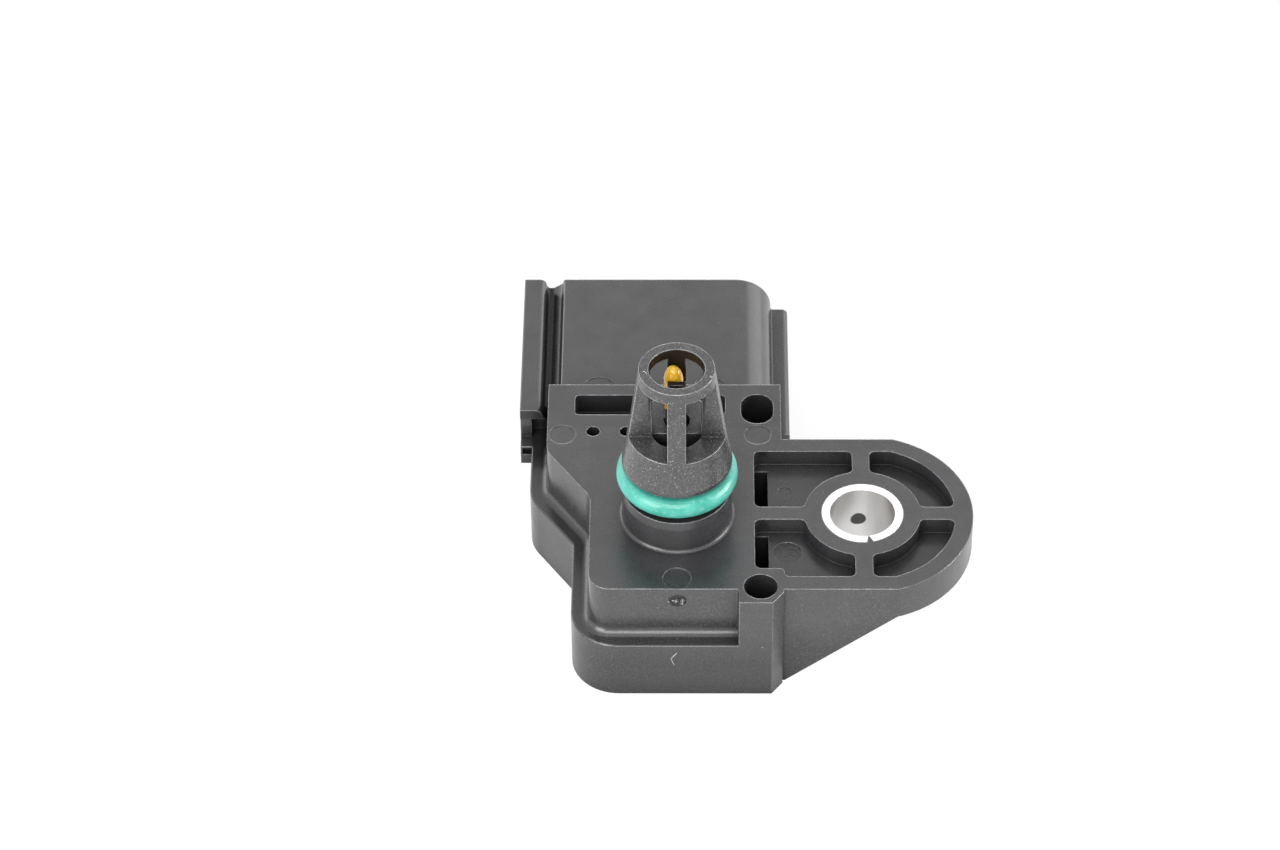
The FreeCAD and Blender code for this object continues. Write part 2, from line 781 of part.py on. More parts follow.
def mounting_bush():
    """Rolled sleeve with a narrow seam, a notch along it and one locking hole."""
    x = lug_pitch
    inner_radius = bush_bore_diameter / 2
    sleeve = upright_cylinder(x, 0, -boss_length, 0, bush_outer_radius)
    sleeve = sleeve.cut(upright_cylinder(x, 0, -boss_length, 0, inner_radius))
    tip_y = -inner_radius + bush_notch_reach
    outer_y = -bush_outer_radius - bush_notch_reach
    notch = plan_prism([
        (x - bush_seam_gap / 2, tip_y, 0),
        (x + bush_seam_gap / 2, tip_y, 0),
        (x + bush_notch_width / 2, outer_y, 0),
        (x - bush_notch_width / 2, outer_y, 0),
    ], -boss_length, 0)
    notch.rotate(point(x, 0), point(0, 0, 1), bush_seam_angle)
    hole = Part.makeCylinder(bush_hole_diameter / 2, bush_outer_radius + overlap,
                             point(x + bush_hole_x, 0, -boss_length / 2), point(0, 1, 0))
    return sleeve.cut(notch).cut(hole)


def housing(bush, terminals):
    """The one moulding: body, lug, shroud and nozzle, formed round the sleeve and the terminals."""
    solid = body_block().fuse([block_side_filler(), screw_lug(), connector_shroud(), nozzle_body()])
    screw_way = upright_cylinder(lug_pitch, 0, -boss_length, 0, bush_bore_diameter / 2)
    cuts = [screw_way, bush, socket(), mouth_lead_in(), cage_bore(), port_channel(), probe_channel()]
    cuts += lug_pockets() + tooling_recesses() + ejector_marks() + cage_windows() + cavity()
    cuts.append(cover_recess())
    solid = solid.cut(cuts)
    for terminal in terminals:
        solid = solid.cut(terminal)
    return solid.removeSplitter()


def back_cover():
    face = cover_face(cover_wall + cover_clearance, body_bottom_z + cover_sink)
    return face.extrude(point(0, 0, cover_thickness))


def cover_sealant():
    """Adhesive ring between the cover and its seat."""
    low_z = body_bottom_z + cover_sink + cover_thickness
    outer = cover_face(cover_wall + cover_clearance, low_z)
    inner = cavity_opening(low_z)
    return outer.cut(inner).extrude(point(0, 0, sealant_thickness))


def cavity_opening(z):
    """Plan of the cavity's opening at height z."""
    face = inset_face(upper_outline(), cavity_wall, z)
    limit = block(-reach, cavity_right_x, -reach, cavity_back_y, z - overlap, z + overlap)
    return face.common(limit)


def o_ring():
    radius = o_ring_section / 2
    major = groove_floor_diameter / 2 + radius + seat_clearance
    return Part.makeTorus(major, radius, point(0, 0, spigot_top_z + groove_width / 2 + o_ring_lift))


def strip_end_x(index):
    """Middle of a terminal's bonding strip at its end, counted from the right strip's left edge."""
    steps = [strip_width + gap for gap in strip_side_gaps[index:]]
    return strip_right_edge_x + strip_width / 2 - sum(steps)


def terminal(index):
    """Stamped terminal: blade in the socket, jog in the wall and bonding strip in the cavity."""
    blade_x = shroud_middle_x + (index - (terminal_count - 1) / 2) * terminal_pitch
    strip_x = pin_hole_first_x + index * terminal_inner_pitch
    end_x = strip_end_x(index)
    end_y = board_back_y + strip_board_gaps[index]
    blade_half = blade_width / 2
    strip_half = strip_width / 2
    low_z = terminal_top_z - blade_thickness
    blade_back_y = socket_back_y - blade_root_depth
    jog_front_y = pin_hole_y + strip_straight_length
    spread_y = cavity_back_y - strip_spread_depth
    tip_y = socket_back_y + blade_length
    corners = [
        (end_x - strip_half, end_y, 0),
        (end_x + strip_half, end_y, 0),
        (end_x + strip_half, strip_gather_y, 0),
        (strip_x + strip_half, spread_y, 0),
        (strip_x + strip_half, jog_front_y, 0),
        (blade_x + blade_half, blade_back_y, 0),
        (blade_x + blade_half, tip_y - blade_tip_chamfer, 0),
        (blade_x + blade_half - blade_tip_chamfer, tip_y, 0),
        (blade_x - blade_half + blade_tip_chamfer, tip_y, 0),
        (blade_x - blade_half, tip_y - blade_tip_chamfer, 0),
        (blade_x - blade_half, blade_back_y, 0),
        (strip_x - strip_half, jog_front_y, 0),
        (strip_x - strip_half, spread_y, 0),
        (end_x - strip_half, strip_gather_y, 0),
    ]
    return plan_prism(corners, low_z, terminal_top_z)


def board_block(low_z, high_z):
    half = chamber_width / 2 + board_overlap
    return block(-half, half, board_front_y, board_back_y, low_z, high_z)


def circuit_board():
    return board_block(circuit_face_z, board_top_z)


def board_adhesive():
    half = chamber_width / 2
    opening = block(-half, half, chamber_back_y - chamber_length, chamber_back_y,
                    board_top_z, cavity_roof_z)
    return board_block(board_top_z, cavity_roof_z).cut(opening)


def centred_block(size_x, size_y, x, y, low_z, high_z):
    return block(x - size_x / 2, x + size_x / 2, y - size_y / 2, y + size_y / 2, low_z, high_z)


def glass_pedestal():
    return centred_block(pedestal_size, pedestal_size, 0, chamber_middle_y,
                         board_top_z, board_top_z + pedestal_height)


def silicon_die():
    low_z = board_top_z + pedestal_height
    return centred_block(die_size, die_size, 0, chamber_middle_y, low_z, low_z + die_height)


def gel_frame():
    high_z = board_top_z + gel_frame_height
    outer = upright_cylinder(0, chamber_middle_y, board_top_z, high_z, gel_frame_outer_diameter / 2)
    return outer.cut(upright_cylinder(0, chamber_middle_y, board_top_z, high_z,
                                      gel_frame_inner_diameter / 2))


def protective_gel():
    high_z = board_top_z + gel_frame_height - gel_gap_to_rim
    gel = upright_cylinder(0, chamber_middle_y, board_top_z, high_z, gel_frame_inner_diameter / 2)
    return gel.cut([glass_pedestal(), silicon_die()])


def signal_chip():
    low_z = circuit_face_z - signal_chip_height
    return centred_block(signal_chip_size, signal_chip_size, signal_chip_x, chamber_middle_y,
                         low_z, circuit_face_z)


def capacitors():
    """Row of chip capacitors beside the signal chip."""
    row = []
    first_y = chamber_middle_y - capacitor_pitch * (capacitor_count - 1) / 2
    low_z = circuit_face_z - capacitor_height
    for index in range(capacitor_count):
        y = first_y + index * capacitor_pitch
        row.append(centred_block(capacitor_length, capacitor_width, capacitor_x, y,
                                 low_z, circuit_face_z))
    return Part.makeCompound(row)


def bond_wires():
    """Half loops from the terminals' strips to the board, all on one level."""
    wires = []
    middle_y = board_back_y + strip_board_gaps[0] / 2
    for index in range(bond_wire_count):
        x = strip_end_x(index) + bond_wire_shift_x
        wires.append(Part.makeTorus(bond_wire_reach, bond_wire_diameter / 2,
                                    point(x, middle_y, circuit_face_z), point(1, 0, 0)))
    below = block(-reach, reach, -reach, reach, circuit_face_z - reach, circuit_face_z)
    return Part.makeCompound([wire.common(below) for wire in wires])


def lead_place(side, z):
    """Middle of a thermistor lead at height z: the two leads draw together on their way down."""
    top_x = bead_x + side * lead_spacing / 2
    foot_x = side * lead_foot_spacing / 2
    share = (z - terminal_top_z) / (lead_top_z - terminal_top_z)
    return point(foot_x + (top_x - foot_x) * share, bead_y, z)


def rod(start, end, diameter):
    return Part.makeCylinder(diameter / 2, start.distanceToPoint(end), start, end - start)


def thermistor_lead(side):
    """Lead that stands flat on the terminal's strip and ends in the side of the bead."""
    below = lead_place(side, terminal_top_z - overlap)
    strip = block(-reach, reach, -reach, reach, terminal_top_z - reach, terminal_top_z)
    return rod(below, lead_place(side, lead_top_z), lead_diameter).cut(strip)


def resin_drop():
    """Upright ellipsoid, with its seam turned to the back, away from the two leads."""
    unit_diameter = 1.0
    drop = Part.makeSphere(unit_diameter / 2)
    drop.rotate(point(0, 0), point(0, 0, 1), 90)
    stretch = FreeCAD.Matrix()
    stretch.scale(bead_width, bead_width, bead_length)
    drop = drop.transformGeometry(stretch)
    drop.translate(point(bead_x, bead_y, bead_top_z - bead_length / 2))
    return drop


def thermistor_bead(leads):
    """Resin bead: a drop with a round top whose coat runs down both leads."""
    coats = []
    for side in (-1, 1):
        top = lead_place(side, lead_top_z)
        coats.append(rod(lead_place(side, lead_coat_end_z), top, lead_coat_diameter))
        coats.append(Part.makeSphere(lead_coat_diameter / 2, top))
    return resin_drop().fuse(coats).cut(leads)


def lead_seal(leads):
    """Potting that closes the probe channel round the leads."""
    seal = upright_cylinder(0, probe_channel_y, terminal_top_z, terminal_top_z + lead_seal_length,
                            probe_channel_diameter / 2)
    return seal.cut(leads)


def build():
    bush = mounting_bush()
    terminals = [terminal(index) for index in range(terminal_count)]
    leads = [thermistor_lead(-1), thermistor_lead(1)]
    nodes = {
        "housing": housing(bush, terminals),
        "mounting_bush": bush,
        "o_ring": o_ring(),
        "back_cover": back_cover(),
        "cover_sealant": cover_sealant(),
        "circuit_board": circuit_board(),
        "board_adhesive": board_adhesive(),
        "glass_pedestal": glass_pedestal(),
        "silicon_die": silicon_die(),
        "gel_frame": gel_frame(),
        "protective_gel": protective_gel(),
        "signal_chip": signal_chip(),
        "capacitors": capacitors(),
        "bond_wires": bond_wires(),
        "thermistor_bead": thermistor_bead(leads),
        "thermistor_lead_left": leads[0],
        "thermistor_lead_right": leads[1],
        "lead_seal": lead_seal(leads),
    }
    for index, shape in enumerate(terminals):
        nodes["terminal_%d" % (index + 1)] = shape
    return nodes


os.makedirs("parts", exist_ok=True)
for name, shape in build().items():
    shape.exportStep("parts/%s.step" % name)
    print(name, shape.isValid(), len(shape.Solids), round(shape.Volume, 2))
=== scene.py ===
import math

import bpy
from mathutils import Matrix, Vector
from mathutils import noise as field


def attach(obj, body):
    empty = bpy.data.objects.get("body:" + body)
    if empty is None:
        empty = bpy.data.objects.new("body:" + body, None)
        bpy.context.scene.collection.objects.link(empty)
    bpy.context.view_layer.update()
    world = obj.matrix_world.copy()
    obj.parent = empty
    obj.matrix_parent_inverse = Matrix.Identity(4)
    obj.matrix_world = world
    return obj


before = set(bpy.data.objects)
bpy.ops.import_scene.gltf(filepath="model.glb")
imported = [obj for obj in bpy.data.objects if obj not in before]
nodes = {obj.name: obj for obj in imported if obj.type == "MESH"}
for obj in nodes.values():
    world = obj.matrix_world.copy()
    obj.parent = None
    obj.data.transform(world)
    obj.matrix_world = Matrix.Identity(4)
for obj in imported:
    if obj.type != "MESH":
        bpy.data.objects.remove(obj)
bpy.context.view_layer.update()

MM = 0.001
scene = bpy.context.scene

# Camera, from the photograph: it looks down on the port from the front
image_width = 1280
sensor_width = 36.0
focal_pixels = 4500.0
camera_pitch = math.radians(44.085)
camera_yaw = math.radians(-1.002)
camera_roll = math.radians(-0.673)
camera_distance = 486.03 * MM
camera_side = -4.014 * MM
camera_rise = 9.488 * MM
nearest_seen = 0.01
farthest_seen = 20.0

# The part stands on its back rim. The floor reflects one shade as light and shows another to the camera,
# and its own glow rises to white between two distances from the part, in metres.
floor_height = -14.2 * MM
floor_half_size = 1.5
floor_for_light = 0.60
floor_for_camera = 0.28
glow_rise = (0.22, 0.6)
glow_least = 0.84

# Soft boxes, in metres and degrees: name, azimuth, elevation and radiance.
# Azimuth 0 is in front of the part, and 90 to its right.
world_strength = 0.03
lamp_distance = 0.55
lamp_side = 0.35
lamps = (
    ("lamp_front_high", 0.0, 35.0, 4.5),
    ("lamp_front_left", -45.0, 12.0, 4.5),
    ("lamp_front_left_high", -45.0, 35.0, 3.0),
    ("lamp_left", -90.0, 12.0, 0.5),
    ("lamp_left_back", -135.0, 12.0, 1.5),
    ("lamp_back", 180.0, 12.0, 2.5),
    ("lamp_right_back", 135.0, 12.0, 1.0),
    ("lamp_right", 90.0, 12.0, 7.5),
    ("lamp_above", 0.0, 88.0, 1.0),
)

# Places on the moulding where its finish or its painted shade changes, in millimetres. Each pair holds the
# start and the end of a change.
groove_left = (-15.4, -14.9)
groove_right = (-13.1, -13.6)
groove_top = (-2.3, -3.2)
groove_start = (13.0, 14.0)
rail_end_x = (-14.6, -15.0)
rail_end_z = (-4.2, -3.6)
wall_shade_z = (-4.5, -9.5)
nozzle_foot = (8.2, 8.7)
front_wall = (-9.6, -11.3)
shroud_start = (13.2, 13.6)
bore_top = (21.35, 21.2)
bore_foot = (14.5, 17.5)
bore_reach = 3.25

# Reach of the painted shade in corners and in hollows, and radius of the softened edges, in millimetres
corner_reach = 0.9
hollow_reach = 7.0
edge_radius = 0.2
bevel_samples = 6
occlusion_samples = 4

# How far the painted shade goes: beside the rail, on the rail's end, on the walls at the floor
groove_shade = 0.75
rail_end_shade = 0.6
wall_shade = 0.42

# Rough ejector spot on the floor of the front pocket, in millimetres
pin_spot = (11.9, -4.0, -2.0)
pin_spot_radius = 1.46

# Middle of the screw bush, and the reach of the painted shade on its darker side from there, in millimetres
screw_x = 20.0
bush_shade_reach = (0.3, 3.6)

# Height above which resin coats the leads of the bead, and half of the fade there, in millimetres
coated_from = 14.1
coated_fade = 0.3

# Torn-off runner on the front wall, in millimetres
wall_y = -11.4
gate_x = 0.03
gate_z = -1.75
gate_radius_x = 1.05
gate_radius_z = 0.95
gate_height = 0.16
gate_sink = 0.03
gate_steps = 56
gate_rings = 14

# Its relief, as shares of its height and radius, and the noise on it for each millimetre
lump_scale = 2.6
crumb_scale = 6.5
base_share = 0.25
ridge_share = 0.45
lump_share = 0.55
crumb_share = 0.40
ridge_place = 0.68
ridge_width = 0.16
fade_place = 0.8
fade_width = 0.2

# Curls of flash on the ring's top and at its front edge, and a scratch on the lower front, in millimetres
thread_radius = 0.035
thread_end_share = 0.45
thread_steps = 14
thread_sides = 6
flash_curls = (
    ((-3.62, -0.60, 21.42), (-3.36, -0.47, 21.44), (-3.09, -0.94, 21.41)),
    ((3.44, -1.12, 21.41), (3.60, -1.30, 21.43), (3.84, -1.22, 21.41)),
)
face_scratch = (
    ((0.04, -13.40, -7.72), (-0.30, -13.405, -8.2), (-0.66, -13.40, -8.68)),
    ((-0.66, -13.40, -8.62), (-0.48, -13.405, -9.2), (-0.27, -13.40, -9.76)),
)

white = (1.0, 1.0, 1.0, 1.0)
black = (0.0, 0.0, 0.0, 1.0)
# Colour of the painted shade in the groove beside the rail and on the rail's end
shade_black = (0.004, 0.004, 0.004, 1.0)
# Colour of the painted shade in the ring's bore, tinted brown with painted amber light from the bead
bore_shade_brown = (0.018, 0.0135, 0.0105, 1.0)
# Colour of dust, fibre ends and painted glints
dust_and_glint_grey = (0.62, 0.62, 0.62, 1.0)
# Colour of the painted highlight on the nozzle's worn edges
nozzle_edge_highlight_grey = (0.64, 0.64, 0.66, 1.0)


def camera_axes():
    """Right, up and view direction of the camera in the part's frame."""
    level = math.cos(camera_pitch)
    looking = Vector((
        math.sin(camera_yaw) * level,
        math.cos(camera_yaw) * level,
        -math.sin(camera_pitch),
    ))
    right = Vector((math.cos(camera_yaw), -math.sin(camera_yaw), 0.0))
    up = right.cross(looking)
    turned_right = right * math.cos(camera_roll) + up * math.sin(camera_roll)
    turned_up = up * math.cos(camera_roll) - right * math.sin(camera_roll)
    return turned_right, turned_up, looking


def make_camera():
    right, up, looking = camera_axes()
    data = bpy.data.cameras.new("camera")
    data.sensor_fit = "HORIZONTAL"
    data.sensor_width = sensor_width
    data.lens = focal_pixels / image_width * sensor_width
    data.clip_start = nearest_seen
    data.clip_end = farthest_seen
    camera = bpy.data.objects.new("camera", data)
    scene.collection.objects.link(camera)
    place = right * camera_side + up * camera_rise - looking * camera_distance
    turn = Matrix((right, up, -looking)).transposed().to_4x4()
    camera.matrix_world = Matrix.Translation(place) @ turn
    scene.camera = camera


# Shader building blocks
def new_material(name):
    """A material with its tree and its Principled shader."""
    made = bpy.data.materials.new(name)
    made.use_nodes = True
    tree = made.node_tree
    return made, tree, tree.nodes["Principled BSDF"]


def node(tree, kind, **constants):
    """A shader node with some of its inputs set by name."""
    made = tree.nodes.new(kind)
    for name, value in constants.items():
        made.inputs[name].default_value = value
    return made


def link(tree, source, target):
    tree.links.new(source, target)


def feed(tree, value, target):
    """Sets an input to a constant, or links it to the output that is given."""
    if isinstance(value, (int, float, tuple)):
        target.default_value = value
    else:
        link(tree, value, target)


def place_coordinates(tree):
    return node(tree, "ShaderNodeTexCoord").outputs["Object"]


def true_normal(tree):
    return node(tree, "ShaderNodeNewGeometry").outputs["True Normal"]


def noise(tree, coordinates, scale, detail, roughness):
    made = node(tree, "ShaderNodeTexNoise", Scale=scale, Detail=detail, Roughness=roughness)
    link(tree, coordinates, made.inputs["Vector"])
    return made.outputs["Fac"]


def stretched(tree, coordinates, scale):
    made = node(tree, "ShaderNodeMapping", Scale=scale)
    link(tree, coordinates, made.inputs["Vector"])
    return made.outputs["Vector"]


def ramp(tree, source, low, high, to_low=0.0, to_high=1.0):
    """Maps low..high to to_low..to_high, held at the ends."""
    made = node(tree, "ShaderNodeMapRange")
    made.clamp = True
    for name, value in (("From Min", low), ("From Max", high), ("To Min", to_low), ("To Max", to_high)):
        made.inputs[name].default_value = value
    link(tree, source, made.inputs["Value"])
    return made.outputs["Result"]


def across(tree, coordinate, span, to_low=0.0, to_high=1.0):
    """Maps a coordinate of the part to to_low..to_high over a span in millimetres, held at the ends."""
    return ramp(tree, coordinate, span[0] * MM, span[1] * MM, to_low, to_high)


def calculate(tree, operation, first, second):
    made = node(tree, "ShaderNodeMath")
    made.operation = operation
    feed(tree, first, made.inputs[0])
    feed(tree, second, made.inputs[1])
    return made.outputs["Value"]


def multiply(tree, *factors):
    product = factors[0]
    for factor in factors[1:]:
        product = calculate(tree, "MULTIPLY", product, factor)
    return product


def add(tree, *terms):
    total = terms[0]
    for term in terms[1:]:
        total = calculate(tree, "ADD", total, term)
    return total


def largest(tree, *values):
    most = values[0]
    for value in values[1:]:
        most = calculate(tree, "MAXIMUM", most, value)
    return most


def measure(tree, operation, *vectors):
    """The number that a vector operation gives."""
    made = node(tree, "ShaderNodeVectorMath")
    made.operation = operation
    for vector, target in zip(vectors, made.inputs):
        feed(tree, vector, target)
    return made.outputs["Value"]


def mix_colour(tree, factor, first, second):
    made = node(tree, "ShaderNodeMix")
    made.data_type = "RGBA"
    feed(tree, factor, made.inputs["Factor"])
    for name, value in (("A", first), ("B", second)):
        target = [s for s in made.inputs if s.name == name and s.type == "RGBA"][0]
        feed(tree, value, target)
    return [s for s in made.outputs if s.type == "RGBA"][0]


def bump(tree, height, distance, strength, normal=None):
    made = node(tree, "ShaderNodeBump", Strength=strength, Distance=distance)
    link(tree, height, made.inputs["Height"])
    if normal is not None:
        link(tree, normal, made.inputs["Normal"])
    return made.outputs["Normal"]


def rounded_normal(tree, radius):
    """The surface's normal, turned along its edges as if they were rounded."""
    made = node(tree, "ShaderNodeBevel", Radius=radius)
    made.samples = bevel_samples
    return made.outputs["Normal"]


def occlusion(tree, distance):
    """1 in the open and towards 0 in corners and hollows narrower than the distance."""
    made = node(tree, "ShaderNodeAmbientOcclusion", Distance=distance)
    made.samples = occlusion_samples
    return made.outputs["AO"]


def split(tree, coordinates):
    made = node(tree, "ShaderNodeSeparateXYZ")
    link(tree, coordinates, made.inputs["Vector"])
    return made.outputs["X"], made.outputs["Y"], made.outputs["Z"]


def edge_mask(tree, rounded, low, high):
    """1 on the sharp edges of the surface and 0 away from them."""
    turned = calculate(tree, "SUBTRACT", 1.0, measure(tree, "DOT_PRODUCT", rounded, true_normal(tree)))
    return ramp(tree, turned, low, high)


def specks(tree, coordinates, scale, size, share):
    """Scattered dots: size as a share of their spacing, share as how many of the cells have one."""
    cells = node(tree, "ShaderNodeTexVoronoi", Scale=scale)
    link(tree, coordinates, cells.inputs["Vector"])
    dot = ramp(tree, cells.outputs["Distance"], size, size * 0.6)
    pick = node(tree, "ShaderNodeSeparateColor")
    link(tree, cells.outputs["Color"], pick.inputs["Color"])
    chosen = calculate(tree, "LESS_THAN", pick.outputs["Red"], share)
    return multiply(tree, dot, chosen)


def inside_disc(tree, coordinates, centre, radius):
    """1 within the radius of a point of the part, and 0 a little outside it."""
    return ramp(tree, measure(tree, "DISTANCE", coordinates, centre), radius, radius * 0.94)


# Masks of the moulding
def groove_shade_mask(tree, x, y, z):
    """1 in the groove beside the coding rail, which is darker in the photograph."""
    # Painted shade darkens the groove here
    sides = multiply(tree, across(tree, x, groove_left), across(tree, x, groove_right))
    return multiply(tree, sides, across(tree, z, groove_top), across(tree, y, groove_start))


def rail_end_shade_mask(tree, x, z):
    """The front end of the coding rail, which is darker and duller in the photograph."""
    # Painted shade on the rail's front end, which also shines less
    towards_back = split(tree, true_normal(tree))[1]
    facing_front = ramp(tree, towards_back, -0.5, -0.9)
    return multiply(tree, facing_front, across(tree, x, rail_end_x),
                    across(tree, z, rail_end_z, 0.0, rail_end_shade))


def bore_shade_mask(tree, where, z):
    """1 on the bore inside the nozzle's ring, which is darker and browner in the photograph."""
    # Painted shade in the bore, tinted brown with the bead's amber light
    flattened = stretched(tree, where, (1.0, 1.0, 0.0))
    in_ring = inside_disc(tree, flattened, (0.0, 0.0, 0.0), bore_reach * MM)
    return multiply(tree, in_ring, across(tree, z, bore_top), across(tree, z, bore_foot))


def wear_and_highlight_mask(tree, where, rounded, near):
    """Worn edges, painted lighter as highlights, bright in patches."""
    corner = multiply(tree, edge_mask(tree, rounded, 0.02, 0.2), ramp(tree, near, 0.8, 0.97))
    patches = ramp(tree, noise(tree, where, scale=1100.0, detail=3.0, roughness=0.6), 0.36, 0.62, 0.35, 1.0)
    return multiply(tree, corner, patches)


def pin_mask(tree, where):
    """Patches of the rough spot that an ejector pin left in the front pocket."""
    spot = inside_disc(tree, where, tuple(c * MM for c in pin_spot), pin_spot_radius * MM)
    blot = ramp(tree, noise(tree, where, scale=2300.0, detail=3.0, roughness=0.6), 0.42, 0.58)
    return multiply(tree, spot, blot)


def dust_and_glint_mask(tree, where, nozzle, coarse, shaded_bore):
    """Dust in drifts, fibre ends, and painted glints on the nozzle's grain, but none in its bore."""
    drift = ramp(tree, noise(tree, where, scale=260.0, detail=2.0, roughness=0.5), 0.42, 0.62)
    thick = ramp(tree, coarse, 0.0, 0.35, 0.3, 0.9)
    dust = multiply(tree, specks(tree, where, scale=900.0, size=0.075, share=0.3), drift, thick)
    fibres = ramp(tree, noise(tree, where, scale=6800.0, detail=2.0, roughness=0.6), 0.52, 0.68, 0.0, 0.22)
    fibres = multiply(tree, fibres, ramp(tree, coarse, 0.0, 1.0, 0.12, 1.0))
    painted_glints = multiply(tree, specks(tree, where, scale=4700.0, size=0.26, share=0.10), nozzle)
    return multiply(tree, largest(tree, dust, fibres, painted_glints), calculate(tree, "SUBTRACT", 1.0, shaded_bore))


# Materials
def moulded_plastic(name, dark, light, edge, roughness):
    """Glass-filled moulding: mottled and grained, dull in corners, with painted shade in corners and
    hollows, worn edges painted lighter as highlights, a little dust and painted glints.
    """
    made, tree, shader = new_material(name)
    where = place_coordinates(tree)
    x, y, z = split(tree, where)
    darkest = tuple(c * 0.35 for c in dark[:3]) + (1.0,)

    # Clouds, grain and streaks
    cloud = noise(tree, where, scale=140.0, detail=3.0, roughness=0.55)
    grain = noise(tree, where, scale=5200.0, detail=3.0, roughness=0.65)
    layered = stretched(tree, where, (160.0, 160.0, 2600.0))
    streaks = noise(tree, layered, scale=1.0, detail=3.0, roughness=0.6)
    tone = add(tree, multiply(tree, cloud, 0.4), multiply(tree, grain, 0.35), multiply(tree, streaks, 0.25))
    body = mix_colour(tree, ramp(tree, tone, 0.38, 0.62), dark, light)

    # Painted shade: corners and hollows are darker
    near = occlusion(tree, corner_reach * MM)
    far = occlusion(tree, hollow_reach * MM)
    open_near = ramp(tree, near, 0.3, 0.95, 0.25, 1.0)
    open_far = ramp(tree, far, 0.25, 0.85, 0.30, 1.0)
    body = mix_colour(tree, multiply(tree, open_near, open_far), darkest, body)

    # Painted shade also falls on the groove beside the coding rail, the rail's end, the walls near the
    # floor and the ring's bore, which is tinted brown with painted amber light from the bead
    shaded_groove = groove_shade_mask(tree, x, y, z)
    rail_end = rail_end_shade_mask(tree, x, z)
    # Painted shade on the walls, darker towards the floor
    low = across(tree, z, wall_shade_z, 0.0, wall_shade)
    shaded_bore = bore_shade_mask(tree, where, z)
    body = mix_colour(tree, multiply(tree, shaded_groove, groove_shade), body, shade_black)
    body = mix_colour(tree, rail_end, body, shade_black)
    body = mix_colour(tree, low, body, black)
    body = mix_colour(tree, shaded_bore, body, bore_shade_brown)

    # The nozzle and the front show a coarser grain
    nozzle = across(tree, z, nozzle_foot)
    coarse = largest(tree, nozzle, multiply(tree, across(tree, y, front_wall), 0.35))

    # Worn edges painted lighter as highlights, pale specks with painted glints, and the rough ejector spot
    rounded = rounded_normal(tree, edge_radius * MM)
    worn = wear_and_highlight_mask(tree, where, rounded, near)
    body = mix_colour(tree, worn, body, mix_colour(tree, nozzle, edge, nozzle_edge_highlight_grey))
    pale = dust_and_glint_mask(tree, where, nozzle, coarse, shaded_bore)
    body = mix_colour(tree, multiply(tree, pale, open_far), body, dust_and_glint_grey)
    pin_mark = pin_mask(tree, where)
    body = mix_colour(tree, multiply(tree, pin_mark, 0.7), body, darkest)
    link(tree, body, shader.inputs["Base Color"])

    # Painted shade on the shine: corners, hollows, the ring's bore, the walls near the floor, the groove
    # and the rail's end shine less
    shaded_shine = multiply(
        tree,
        ramp(tree, shaded_bore, 0.0, 1.0, 0.76, 0.15),
        ramp(tree, near, 0.1, 0.6, 0.4, 1.0),
        ramp(tree, far, 0.2, 0.75, 0.3, 1.0),
        ramp(tree, low, 0.0, wall_shade, 1.0, 0.8),
        ramp(tree, largest(tree, shaded_groove, rail_end), 0.0, 1.0, 1.0, 0.3),
    )
    link(tree, shaded_shine, shader.inputs["Specular IOR Level"])

    # The surface is unevenly dull, less so on worn edges and on the shroud, and more so in hollows
    uneven = noise(tree, where, scale=420.0, detail=4.0, roughness=0.6)
    dullness = ramp(tree, uneven, 0.3, 0.7, roughness - 0.05, roughness + 0.06)
    dullness = calculate(tree, "SUBTRACT", dullness, multiply(tree, worn, 0.12))
    dullness = calculate(tree, "SUBTRACT", dullness, multiply(tree, across(tree, y, shroud_start), 0.05))
    dullness = add(tree, dullness, ramp(tree, far, 0.1, 0.45, 0.35, 0.0))
    link(tree, dullness, shader.inputs["Roughness"])

    # Relief of the grain, the specks and the ejector spot
    relief = multiply(tree, grain, ramp(tree, coarse, 0.0, 1.0, 0.35, 1.0))
    relief = add(tree, relief, multiply(tree, pale, 0.5), multiply(tree, pin_mark, 2.0))
    surface = bump(tree, relief, distance=0.016 * MM, strength=0.6, normal=rounded)
    link(tree, surface, shader.inputs["Normal"])
    shader.inputs["IOR"].default_value = 1.57
    return made


def rubber(name):
    """Rubber of the O-ring: teal, with a wet-looking shine, a faint bloom and flow marks."""
    made, tree, shader = new_material(name)
    where = place_coordinates(tree)
    broad = noise(tree, where, scale=320.0, detail=3.0, roughness=0.55)
    flow = ramp(tree, broad, 0.35, 0.65)
    body = mix_colour(tree, flow, (0.046, 0.39, 0.30, 1.0), (0.10, 0.52, 0.42, 1.0))
    bloom = ramp(tree, noise(tree, where, scale=1900.0, detail=4.0, roughness=0.7), 0.52, 0.72, 0.0, 0.5)
    body = mix_colour(tree, bloom, body, (0.36, 0.70, 0.63, 1.0))
    # Painted shade: the rubber is darker where it is hemmed in
    shade = ramp(tree, occlusion(tree, 1.6 * MM), 0.3, 0.9, 0.35, 1.0)
    body = mix_colour(tree, shade, (0.010, 0.16, 0.12, 1.0), body)
    link(tree, body, shader.inputs["Base Color"])
    link(tree, ramp(tree, broad, 0.3, 0.7, 0.17, 0.28), shader.inputs["Roughness"])
    skin = noise(tree, where, scale=3200.0, detail=4.0, roughness=0.65)
    link(tree, bump(tree, skin, distance=0.012 * MM, strength=0.5), shader.inputs["Normal"])
    shader.inputs["IOR"].default_value = 1.52
    return made


